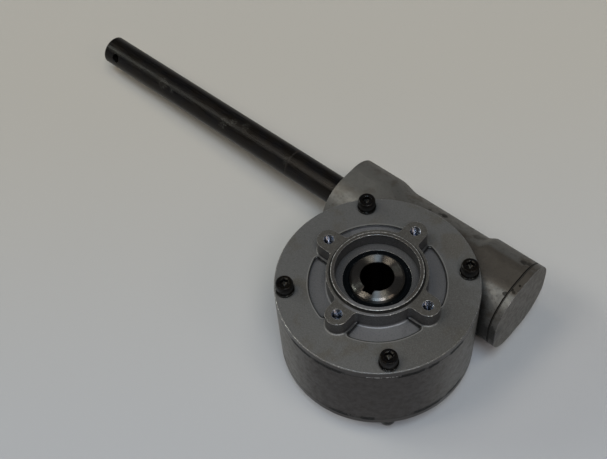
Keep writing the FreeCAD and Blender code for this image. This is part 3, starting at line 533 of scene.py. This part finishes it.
def cover_metal():
    """The covers, top and bottom alike."""
    shader = Shader("cover_metal", COVER_GREY)
    region = CoverRegions(shader)
    grain = shader.noise(0.7 * MM, 3.0, 0.6)
    cover_skin(shader, region, grain)
    dark_line, unworn_recess = recess_edges(shader, region)
    cover_rim(shader, region)
    locating_ring(shader, region)
    unworn = shader.most(unworn_recess, shader.times(region.low_edge, region.outer),
                         shader.times(region.shaded_side, region.outer, 0.6))
    wear = shader.turned_round(shader.times(unworn, 0.9))
    dark_marks = seam_stains(shader, SEAM + 0.3 * MM, -SEAM - 0.3 * MM)
    # Open seams, and the painted shade along the recesses' outline
    stains_and_shade = shader.most(shader.times(dark_line, 0.75), *dark_marks)
    rough = shader.between(grain, 0.42, 0.54)
    return cast_finish(shader, rough, stains_and_shade, wear, grain=0.28, edge_radius=0.5 * MM,
                       shade_depth=4 * MM, shade_limits=(0.2, 0.75))


# Black oxide of the input shaft and the screws, and the spring washers

OXIDE = (0.0042, 0.0033, 0.0026)
OXIDE_BLUE = (0.0032, 0.003, 0.0034)
OXIDE_TINT = (1.0, 0.93, 0.9)
OXIDE_STREAK = (0.012, 0.01, 0.0085)
OXIDE_RUST = (0.024, 0.013, 0.009)
OXIDE_SCUFF = (0.07, 0.068, 0.062)
SPRING_DARK = (0.004, 0.004, 0.004)
SPRING_LIGHT = (0.014, 0.013, 0.012)
SPRING_EDGE = (0.29, 0.285, 0.275)
SCORE_PLACE = -141.5 * MM

# Scuffed places of the shaft: point and radius in millimetres
SHAFT_SCUFFS = (
    ((-287.6, 59.5, 9.3), 4.5), ((-276.4, 58.6, 8.5), 3.5), ((-215, 58.6, 8.5), 3.5),
    ((-205.6, 62.6, 11.4), 3.0), ((-194, 66.2, 12.4), 3.0), ((-144, 60.0, 9.9), 3.0),
)


def black_shaft():
    """Black oxide on a drawn bar: long faint streaks, scuffs and a rusty line at the score."""
    shader = Shader("black_oxide_shaft", OXIDE, Metallic=0.0, Specular_IOR_Level=0.17,
                    Specular_Tint=OXIDE_TINT)
    streaks = shader.noise(0.9 * MM, 3.0, 0.6, shader.stretched((0.05, 1, 1)))
    clouds = shader.noise(14 * MM)
    shader.coat(OXIDE_BLUE, shader.rise(clouds, 0.42, 0.6))
    shader.coat(OXIDE_STREAK, shader.rise(streaks, 0.5, 0.75), 0.3)
    marks = shader.noise(2.2 * MM, 4.0, 0.7, shader.stretched((0.35, 1, 1)))
    rubbed = shader.times(shader.rise(marks, 0.66, 0.74), shader.rise(clouds, 0.5, 0.62))
    broken = shader.cloudy(1.1 * MM, 0.5, 0.64, 3.0, 0.7)
    scuffs = [shader.times(shader.spot(*scuff, clouds), broken) for scuff in SHAFT_SCUFFS]
    specks = shader.times(shader.specks(2.2 * MM, 0.05, 0.13), shader.rise(clouds, 0.42, 0.6))
    shader.coat(OXIDE_SCUFF, shader.most(rubbed, *scuffs, specks), 0.65)
    score = shader.band(shader.axes()[0], SCORE_PLACE, 0.4 * MM, 0.8 * MM)
    shader.coat(OXIDE_RUST, score, shader.rise(clouds, 0.4, 0.7))
    rounded, edge = shader.soft_edges(0.5 * MM)
    shader.coat(OXIDE_SCUFF, edge, 0.5)
    return shader.done(Roughness=shader.between(shader.rise(streaks, 0.3, 0.7), 0.24, 0.42),
                       Normal=shader.bump(streaks, 0.5, 0.12 * MM, rounded))


def black_screws():
    """Black oxide with the edges rubbed brighter."""
    shader = Shader("black_oxide_screws", OXIDE, Metallic=0.0, Specular_IOR_Level=0.12)
    clouds = shader.noise(3 * MM)
    shader.coat(OXIDE_BLUE, shader.rise(clouds, 0.42, 0.62))
    rounded, edge = shader.soft_edges(0.25 * MM)
    shader.coat(OXIDE_SCUFF, edge, 0.25)
    return shader.done(Roughness=shader.between(clouds, 0.14, 0.3),
                       Normal=shader.bump(shader.noise(0.5 * MM), 0.15, 0.05 * MM, rounded))


def spring_washer():
    """Dark spring steel with a bright rubbed edge."""
    shader = Shader("spring_steel", SPRING_DARK, Metallic=0.8)
    clouds = shader.noise(2 * MM)
    shader.coat(SPRING_LIGHT, clouds)
    rounded, edge = shader.soft_edges(0.4 * MM)
    shader.coat(SPRING_EDGE, edge, shader.rise(clouds, 0.52, 0.62))
    return shader.done(Roughness=shader.between(clouds, 0.22, 0.36), Normal=rounded)


# Turned, ground and other inner metals

TURNED_DARK = (0.26, 0.245, 0.23)
TURNED_LIGHT = (0.38, 0.365, 0.35)
THREAD_DARK = (0.2, 0.22, 0.27)
THREAD_LIGHT = (0.36, 0.39, 0.46)
SHAFT_CORNER = 20.7 * MM
BORE_EDGE = 12.55 * MM
BORE_MOUTH = 45.3 * MM


def turned_steel():
    """Steel turned on a lathe: fine rings that draw the light into radial streaks, with painted shade beyond
    the end face's outer corner and down the bore.
    """
    shader = Shader("turned_steel", TURNED_DARK, Metallic=1.0, Anisotropic=1.0, Anisotropic_Rotation=0.25)
    tangent = shader.node("ShaderNodeTangent", direction_type="RADIAL", axis="Z")
    radius = shader.radius()
    turning = shader.node("ShaderNodeTexNoise", noise_dimensions="1D")
    rings = shader.feed(turning, W=radius, Scale=1 / (0.35 * MM), Detail=3.0).outputs["Fac"]
    shader.coat(TURNED_LIGHT, shader.noise(6 * MM))
    # Painted shade beyond the end face's outer corner and down the bore
    shader.coat(SHADE_AND_STAIN_BLACK, shader.rise(radius, SHAFT_CORNER, SHAFT_CORNER + 0.6 * MM), 0.93)
    bore = shader.fall(radius, BORE_EDGE, BORE_EDGE + 0.25 * MM)
    shader.coat(SHADE_AND_STAIN_BLACK, bore, shader.fall(shader.height(), BORE_MOUTH - 1.5 * MM, BORE_MOUTH))
    return shader.done(Roughness=shader.between(rings, 0.2, 0.3), Tangent=tangent.outputs[0],
                       Normal=shader.bump(rings, 0.12, 0.03 * MM))


# Machined metals inside the housing: dark colour, light colour and least roughness
MACHINED_METALS = {
    "ground_steel": ((0.45, 0.45, 0.46), (0.6, 0.6, 0.61), 0.15),
    "key_steel": ((0.4, 0.39, 0.37), (0.55, 0.54, 0.52), 0.25),
    "wheel_bronze": ((0.52, 0.3, 0.11), (0.68, 0.42, 0.18), 0.25),
    "hub_iron": ((0.16, 0.16, 0.155), (0.26, 0.26, 0.25), 0.4),
}


def machined(name):
    """A machined metal with faint tool marks and patches."""
    dark, light, roughness = MACHINED_METALS[name]
    shader = Shader(name, dark, Metallic=1.0)
    shader.coat(light, shader.noise(5 * MM))
    marks = shader.noise(0.5 * MM, 2.0, 0.5, shader.stretched((0.2, 0.2, 1)))
    rounded, edge = shader.soft_edges(0.4 * MM)
    shader.coat(shade(light, 1.3), edge, 0.4)
    return shader.done(Roughness=shader.between(marks, roughness, roughness + 0.15),
                       Normal=shader.bump(marks, 0.2, 0.06 * MM, rounded))


def thread_steel():
    """Freshly cut thread flanks, cold and bright."""
    shader = Shader("cut_thread", THREAD_DARK, Metallic=1.0)
    clouds = shader.noise(1.5 * MM)
    shader.coat(THREAD_LIGHT, clouds)
    return shader.done(Roughness=shader.between(clouds, 0.14, 0.24))


# Rubber and paper

RUBBER_DARK = (0.0012, 0.0014, 0.0018)
RUBBER_LIGHT = (0.002, 0.003, 0.004)
RUBBER_DUST = (0.14, 0.14, 0.14)
PAPER_DARK = (0.012, 0.011, 0.01)
PAPER_LIGHT = (0.05, 0.045, 0.038)


def seal_rubber():
    """Black rubber with a cold sheen and dust here and there."""
    shader = Shader("seal_rubber", RUBBER_DARK, Metallic=0.0, Specular_IOR_Level=0.05)
    clouds = shader.noise(2.5 * MM, 4.0, 0.6)
    shader.coat(RUBBER_LIGHT, clouds)
    shader.coat(RUBBER_DUST, shader.specks(1.7 * MM, 0.08, 0.2), shader.cloudy(5 * MM, 0.48, 0.6), 0.6)
    rounded, _ = shader.soft_edges(0.3 * MM)
    return shader.done(Roughness=shader.between(clouds, 0.35, 0.55),
                       Normal=shader.bump(shader.noise(0.6 * MM), 0.3, 0.08 * MM, rounded))


def gasket_paper():
    """Oiled fibre: nearly black, with lighter fibres."""
    shader = Shader("gasket_paper", PAPER_DARK, Metallic=0.0, Specular_IOR_Level=0.2)
    fibres = shader.noise(0.8 * MM, 4.0, 0.7)
    shader.coat(PAPER_LIGHT, fibres)
    for stain in seam_stains(shader, SEAM, -SEAM):
        shader.coat(SHADE_AND_STAIN_BLACK, stain)
    return shader.done(Roughness=shader.between(fibres, 0.7, 0.9), Normal=shader.bump(fibres, 0.4, 0.1 * MM))


def paint(material, *names):
    for name in names:
        data = nodes[name].data
        data.materials.clear()
        data.materials.append(material)


oxide = black_screws()
cut_thread = thread_steel()
paint(machined("ground_steel"), *[name for name in nodes if "bearing" in name])
paint(cast_iron(), "housing", "end_cap")
paint(cover_metal(), "top_cover", "bottom_cover")
paint(black_shaft(), "worm_shaft")
paint(oxide, "top_cover_screws", "bottom_cover_screws")
paint(spring_washer(), "top_lock_washers", "bottom_lock_washers", "input_retaining_ring")
paint(seal_rubber(), "top_oil_seal", "bottom_oil_seal", "input_oil_seal")
paint(gasket_paper(), "top_gasket", "bottom_gasket", "end_cap_gasket")
paint(turned_steel(), "output_shaft")
paint(machined("key_steel"), "wheel_key")
paint(machined("wheel_bronze"), "wheel_rim")
paint(machined("hub_iron"), "wheel_hub")


# Pieces that the scene adds: the screws in full detail and the threads of the ear holes

SHARP_ANGLE = 35
TURN_OF_EACH_COPY = 0.7


def placed(name, data):
    """A new object of the scene."""
    made = bpy.data.objects.new(name, data)
    bpy.context.scene.collection.objects.link(made)
    return made


def lathe(name, columns, rows, turned_row, material):
    """A closed skin turned about Z: turned_row gives radius and height for a row at an angle."""
    points = []
    for row in range(rows):
        for column in range(columns):
            angle = 2 * math.pi * column / columns
            radius, height = turned_row(row, angle)
            points.append((radius * math.cos(angle), radius * math.sin(angle), height))
    faces = []
    for row in range(rows):
        following = (row + 1) % rows
        for column in range(columns):
            beside = (column + 1) % columns
            faces.append((row * columns + column, row * columns + beside,
                          following * columns + beside, following * columns + column))
    mesh = bpy.data.meshes.new(name)
    mesh.from_pydata(points, [], faces)
    mesh.materials.append(material)
    return mesh


def repeated(name, mesh, places, flipped):
    """One piece holding a copy of the mesh at each place; a flipped set belongs to the underside."""
    points = []
    faces = []
    for number, (x, y) in enumerate(places):
        start = len(points)
        spin = Matrix.Rotation(TURN_OF_EACH_COPY * number, 3, "Z")
        for vertex in mesh.vertices:
            turned = spin @ vertex.co + Vector((x, y, 0))
            points.append((turned.x, -turned.y, -turned.z) if flipped else tuple(turned))
        faces += [[start + corner for corner in polygon.vertices] for polygon in mesh.polygons]
    joined = bpy.data.meshes.new(name)
    joined.from_pydata(points, [], faces)
    joined.materials.append(mesh.materials[0])
    joined.validate()
    joined.shade_smooth()
    joined.set_sharp_from_angle(angle=math.radians(SHARP_ANGLE))
    return placed(name, joined)


def ring_of_places(radius, first_degrees):
    places = []
    for number in range(4):
        angle = math.radians(first_degrees + 90 * number)
        places.append((radius * math.cos(angle), radius * math.sin(angle)))
    return places


KNURLS = 48
STEPS_PER_KNURL = 4
KNURL_DEPTH = 0.22 * MM
SOCKET_HALF = 3 * MM
SOCKET_DEPTH = 4 * MM
SOCKET_CONE = 1.3 * MM
SHANK_RADIUS = 3.95 * MM
TIP_CHAMFER = 0.8 * MM
AXIS_RADIUS = 0.02 * MM


def socket_screw():
    """A socket head cap screw with a knurled head and a drilled hexagon socket."""
    floor = HEAD_TOP - SOCKET_DEPTH
    profile = [
        ("round", AXIS_RADIUS, SCREW_TIP),
        ("round", SHANK_RADIUS - TIP_CHAMFER, SCREW_TIP),
        ("round", SHANK_RADIUS, SCREW_TIP + TIP_CHAMFER),
        ("round", SHANK_RADIUS, HEAD_SEAT),
        ("round", HEAD_RADIUS - 0.5 * MM, HEAD_SEAT),
        ("round", HEAD_RADIUS - KNURL_DEPTH, HEAD_SEAT + 0.35 * MM),
        ("knurled", HEAD_RADIUS, HEAD_SEAT + 0.6 * MM),
        ("knurled", HEAD_RADIUS, HEAD_TOP - 1.3 * MM),
        ("round", HEAD_RADIUS - KNURL_DEPTH, HEAD_TOP - 1.0 * MM),
        ("round", HEAD_RADIUS - 0.35 * MM, HEAD_TOP - 0.45 * MM),
        ("round", HEAD_RADIUS - 0.9 * MM, HEAD_TOP),
        ("round", SOCKET_HALF + 0.75 * MM, HEAD_TOP),
        ("hexagon", SOCKET_HALF + 0.05 * MM, HEAD_TOP - 0.4 * MM),
        ("hexagon", SOCKET_HALF, HEAD_TOP - 0.7 * MM),
        ("hexagon", SOCKET_HALF, floor),
        ("round", SOCKET_HALF - 0.2 * MM, floor - 0.05 * MM),
        ("round", AXIS_RADIUS, floor - SOCKET_CONE),
    ]

    def turned_row(row, angle):
        kind, radius, height = profile[row]
        if kind == "knurled":
            radius -= KNURL_DEPTH * (0.5 + 0.5 * math.cos(KNURLS * angle))
        if kind == "hexagon":
            radius /= math.cos((angle % (math.pi / 3)) - math.pi / 6)
        return radius, height

    return lathe("socket_screw", KNURLS * STEPS_PER_KNURL, len(profile), turned_row, oxide)


THREAD_MAJOR = 3.98 * MM
THREAD_MINOR = 3.35 * MM
THREAD_ROOT = THREAD_MAJOR - 0.04 * MM
THREAD_PITCH = 1.25 * MM
THREAD_FLAT = 0.12
THREAD_ROWS_PER_PITCH = 8
THREAD_COLUMNS = 48
THREAD_LENGTH = 15.5 * MM


def ear_thread():
    """The threaded wall of one ear hole, with a short lead-in at its mouth."""
    top = HUB_FACE - 0.05 * MM
    rows = int(THREAD_LENGTH / THREAD_PITCH * THREAD_ROWS_PER_PITCH)

    def turned_row(row, angle):
        if row == rows:
            return THREAD_MAJOR, top - THREAD_LENGTH
        if row == rows + 1:
            return THREAD_MAJOR, top
        depth = THREAD_LENGTH * row / (rows - 1)
        turns = (top - depth) / THREAD_PITCH - angle / (2 * math.pi)
        wave = 2 * abs(turns - math.floor(turns) - 0.5)
        groove = min(max((wave - THREAD_FLAT) / (1 - 2 * THREAD_FLAT), 0.0), 1.0)
        radius = THREAD_MINOR + (THREAD_ROOT - THREAD_MINOR) * groove
        lead_in = THREAD_MAJOR - max(depth, 0.02 * MM)
        return max(radius, lead_in), top - depth

    return lathe("ear_thread", THREAD_COLUMNS, rows + 2, turned_row, cut_thread)


screw_mesh = socket_screw()
thread_mesh = ear_thread()
for side, flipped in (("top", False), ("bottom", True)):
    screws = repeated(side + "_socket_screws", screw_mesh, ring_of_places(SCREW_CIRCLE, 45), flipped)
    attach(screws, "gear_case")
    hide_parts(side + "_cover_screws")
    threads = repeated(side + "_ear_threads", thread_mesh, ring_of_places(EAR_CIRCLE, 0), flipped)
    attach(threads, "gear_case")


# Camera, solved from the photograph's edges

CAMERA_PLACE = Vector((0.24689, -0.31589, 0.66732))
CAMERA_RIGHT = Vector((0.757470, 0.650513, -0.055420))
CAMERA_UP = Vector((-0.506168, 0.638758, 0.579468))
CAMERA_FORWARD = Vector((-0.412351, 0.410878, -0.813109))
SENSOR_WIDTH = 36.0
FOCAL_LENGTH = 60.878

camera_data = bpy.data.cameras.new("camera")
camera_data.sensor_fit = "HORIZONTAL"
camera_data.sensor_width = SENSOR_WIDTH
camera_data.lens = FOCAL_LENGTH
camera_data.clip_start = 0.01
camera = placed("camera", camera_data)
turn = Matrix((CAMERA_RIGHT, CAMERA_UP, -CAMERA_FORWARD)).transposed()
camera.matrix_world = Matrix.Translation(CAMERA_PLACE) @ turn.to_4x4()
bpy.context.scene.camera = camera


# Floor: the gearbox rests on the lower locating ring and one screw head, so the plane is tilted

FLOOR_NORMAL = Vector((0.076, -0.082, 0.994)).normalized()
FLOOR_OFFSET = 0.057
FLOOR_HALF = 12.0
FLOOR_WARM = (0.4, 0.371, 0.336)
FLOOR_COOL = (0.396, 0.396, 0.416)
FLOOR_CLOUD = (0.3, 0.3, 0.3)
FLOOR_SPECK = (0.1, 0.1, 0.1)
# Where across the floor, in metres, painted warm light falls, and from which distances on it is an even mix
FLOOR_WARMING = (-0.185, 0.315)
FLOOR_EVEN = (0.5, 1.1)


def floor_paint():
    """A pale table top with painted warm light toward the far side, and a few specks."""
    shader = Shader("floor_paint", FLOOR_COOL, Roughness=0.85, Specular_IOR_Level=0.15)
    warmth = shader.rise(shader.axes()[1], *FLOOR_WARMING)
    distant = shader.rise(shader.radius(), *FLOOR_EVEN)
    shader.coat(FLOOR_WARM, shader.add(shader.times(warmth, shader.turned_round(distant)),
                                       shader.times(distant, 0.5)))
    shader.coat(FLOOR_CLOUD, shader.noise(0.15, 2.0), 0.06)
    shader.coat(FLOOR_SPECK, shader.specks(0.06, 0.008, 0.016), 0.25)
    return shader.done()


floor_mesh = bpy.data.meshes.new("floor")
floor_mesh.from_pydata([(-FLOOR_HALF, -FLOOR_HALF, 0), (FLOOR_HALF, -FLOOR_HALF, 0),
                        (FLOOR_HALF, FLOOR_HALF, 0), (-FLOOR_HALF, FLOOR_HALF, 0)], [], [(0, 1, 2, 3)])
floor_mesh.materials.append(floor_paint())
floor = placed("floor", floor_mesh)
floor.rotation_euler = FLOOR_NORMAL.to_track_quat("Z", "Y").to_euler()
floor.location = -FLOOR_NORMAL * FLOOR_OFFSET


# Light: soft lamps in the directions that the photograph's shadows and streaks give

LAMP_SOFTNESS = 16
# Name, direction in degrees from +X, height in degrees, and the strength of red, green and blue
LAMPS = (
    ("front_high", 306, 70, (0.25, 0.32, 0.385)),
    ("right_front", 330, 55, (0.206, 0.2, 0.203)),
    ("left_warm", 240, 55, (0.152, 0.142, 0.124)),
    ("right_high", 0, 72, (0.153, 0.15, 0.124)),
    ("left_high", 216, 72, (0.113, 0.1, 0.08)),
    ("left_low", 210, 38, (0.11, 0.12, 0.11)),
    ("left_lowest", 193, 22, (0.132, 0.128, 0.114)),
    ("right_low", 0, 38, (0.04, 0.032, 0.026)),
)

for name, azimuth, elevation, strength in LAMPS:
    lamp_data = bpy.data.lights.new(name, "SUN")
    strongest = max(strength)
    lamp_data.energy = strongest * math.pi
    lamp_data.color = [channel / strongest for channel in strength]
    lamp_data.angle = math.radians(LAMP_SOFTNESS)
    flat = math.cos(math.radians(elevation))
    toward = Vector((flat * math.cos(math.radians(azimuth)), flat * math.sin(math.radians(azimuth)),
                     math.sin(math.radians(elevation))))
    lamp = placed(name, lamp_data)
    lamp.rotation_euler = toward.to_track_quat("Z", "Y").to_euler()


# Surroundings: pale walls under a dark ceiling, joined by a soft step in the upward direction

WALL_LEVEL = 0.4
CEILING_LEVEL = 0.04
WALL_END = 0.05
CEILING_START = 0.4

world = bpy.data.worlds.new("studio")
bpy.context.scene.world = world
world.use_nodes = True
sky = world.node_tree
direction = sky.nodes.new("ShaderNodeTexCoord")
parts = sky.nodes.new("ShaderNodeSeparateXYZ")
sky.links.new(direction.outputs["Generated"], parts.inputs[0])
fade = sky.nodes.new("ShaderNodeMapRange")
fade.interpolation_type = "SMOOTHSTEP"
fade.inputs["From Min"].default_value = WALL_END
fade.inputs["From Max"].default_value = CEILING_START
fade.inputs["To Min"].default_value = WALL_LEVEL
fade.inputs["To Max"].default_value = CEILING_LEVEL
sky.links.new(parts.outputs["Z"], fade.inputs["Value"])
sky.links.new(fade.outputs["Result"], sky.nodes["Background"].inputs["Strength"])
sky.nodes["Background"].inputs["Color"].default_value = (1, 1, 1, 1)

bpy.context.scene.view_settings.view_transform = "Standard"
